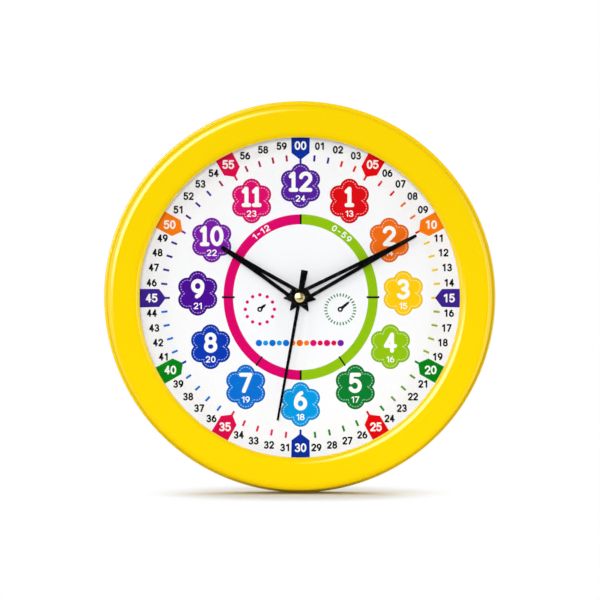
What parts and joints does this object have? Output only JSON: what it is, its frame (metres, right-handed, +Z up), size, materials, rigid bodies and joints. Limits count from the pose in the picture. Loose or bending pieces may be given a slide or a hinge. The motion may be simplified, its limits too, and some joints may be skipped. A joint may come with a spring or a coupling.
{
  "type": "teaching wall clock",
  "caption": "Round teaching wall clock with a yellow moulded frame, clear lens, dial numbered for hours and minutes, geared hands, battery quartz movement and keyhole hanger behind.",
  "frame": {"origin": "middle of the clock's box, on the axis of the hands, half way between the wall and the crown of the frame", "axes": "+X to the reader's right (three o'clock), +Y from the dial back to the wall, +Z up (twelve o'clock); the dial faces -Y"},
  "size_m": [0.305, 0.042, 0.305],
  "materials": {
    "frame_plastic": "glossy injection-moulded yellow plastic",
    "lens_clear": "clear polished sheet",
    "spacer_plastic": "matt white moulding",
    "dial_card": "satin coated card with coloured print",
    "back_plastic": "fine-textured pale moulding",
    "screw_steel": "zinc-plated",
    "gasket_rubber": "matt",
    "brass_fittings": "turned",
    "hand_black": "black enamel on stamped aluminium",
    "cap_brass": "polished",
    "movement_plastic": "fine spark texture",
    "cover_plastic": "fine spark texture",
    "train_plastic": "natural",
    "gear_acetal": "natural",
    "rotor_magnet": "bonded magnet on a moulded pinion",
    "stator_steel": "stamped",
    "coil_copper": "enamelled copper wire",
    "board_laminate": "solder mask",
    "chip_epoxy": "cast drop",
    "crystal_can": "plated can",
    "contact_nickel": "nickel-plated spring strip",
    "knob_plastic": "ridged moulding",
    "cell_jacket": "plain printed jacket with bare ends"
  },
  "bodies": {
    "case": {"frame_ring": "frame_plastic", "lens": "lens_clear", "spacer_ring": "spacer_plastic", "dial": "dial_card", "back_plate": "back_plastic", "case_screws": "screw_steel", "mounting_gasket": "gasket_rubber", "mounting_washer": "brass_fittings", "mounting_nut": "brass_fittings", "movement_case": "movement_plastic", "movement_cover": "cover_plastic", "train_plate": "train_plastic", "stator": "stator_steel", "coil_bobbin": "train_plastic", "coil_winding": "coil_copper", "circuit_board": "board_laminate", "chip": "chip_epoxy", "crystal": "crystal_can", "positive_contact": "contact_nickel", "negative_contact": "contact_nickel", "battery_cell": "cell_jacket"},
    "minute_arm": {"minute_hand": "hand_black", "cannon_pinion": "brass_fittings", "centre_wheel": "brass_fittings"},
    "hour_arm": {"hour_hand": "hand_black", "hour_wheel": "gear_acetal"},
    "second_arm": {"second_hand": "hand_black", "second_hand_cap": "cap_brass", "second_wheel": "gear_acetal"},
    "motion_gear": {"motion_wheel": "gear_acetal"},
    "third_gear": {"third_wheel": "gear_acetal"},
    "intermediate_gear": {"intermediate_wheel": "gear_acetal"},
    "motor_rotor": {"rotor": "rotor_magnet"},
    "knob": {"setting_knob": "knob_plastic"}
  },
  "joints": [
    {"name": "minute_hand_spin", "type": "hinge", "parent": "case", "child": "minute_arm", "pos_m": [0, 0, 0], "axis": [0, 1, 0], "continuous": true},
    {"name": "hour_hand_spin", "type": "hinge", "parent": "case", "child": "hour_arm", "pos_m": [0, 0, 0], "axis": [0, 1, 0], "continuous": true},
    {"name": "second_hand_spin", "type": "hinge", "parent": "case", "child": "second_arm", "pos_m": [0, 0, 0], "axis": [0, 1, 0], "continuous": true},
    {"name": "motion_wheel_spin", "type": "hinge", "parent": "case", "child": "motion_gear", "pos_m": [0.007, 0, 0], "axis": [0, 1, 0], "continuous": true},
    {"name": "third_wheel_spin", "type": "hinge", "parent": "case", "child": "third_gear", "pos_m": [0.00425, 0, 0.00736], "axis": [0, 1, 0], "continuous": true},
    {"name": "intermediate_wheel_spin", "type": "hinge", "parent": "case", "child": "intermediate_gear", "pos_m": [-0.00736, 0, 0.00425], "axis": [0, 1, 0], "continuous": true},
    {"name": "rotor_spin", "type": "hinge", "parent": "case", "child": "motor_rotor", "pos_m": [-0.0109, 0, 0.00779], "axis": [0, 1, 0], "continuous": true},
    {"name": "setting_knob_spin", "type": "hinge", "parent": "case", "child": "knob", "pos_m": [0.014, 0, 0], "axis": [0, 1, 0], "continuous": true}
  ],
  "couplings": [
    {"joint": "hour_hand_spin", "follows": "minute_hand_spin", "ratio": 0.083333},
    {"joint": "second_hand_spin", "follows": "minute_hand_spin", "ratio": 60},
    {"joint": "motion_wheel_spin", "follows": "minute_hand_spin", "ratio": -0.33333},
    {"joint": "third_wheel_spin", "follows": "minute_hand_spin", "ratio": -8},
    {"joint": "intermediate_wheel_spin", "follows": "minute_hand_spin", "ratio": -450},
    {"joint": "rotor_spin", "follows": "minute_hand_spin", "ratio": 1800},
    {"joint": "setting_knob_spin", "follows": "minute_hand_spin", "ratio": 1}
  ]
}
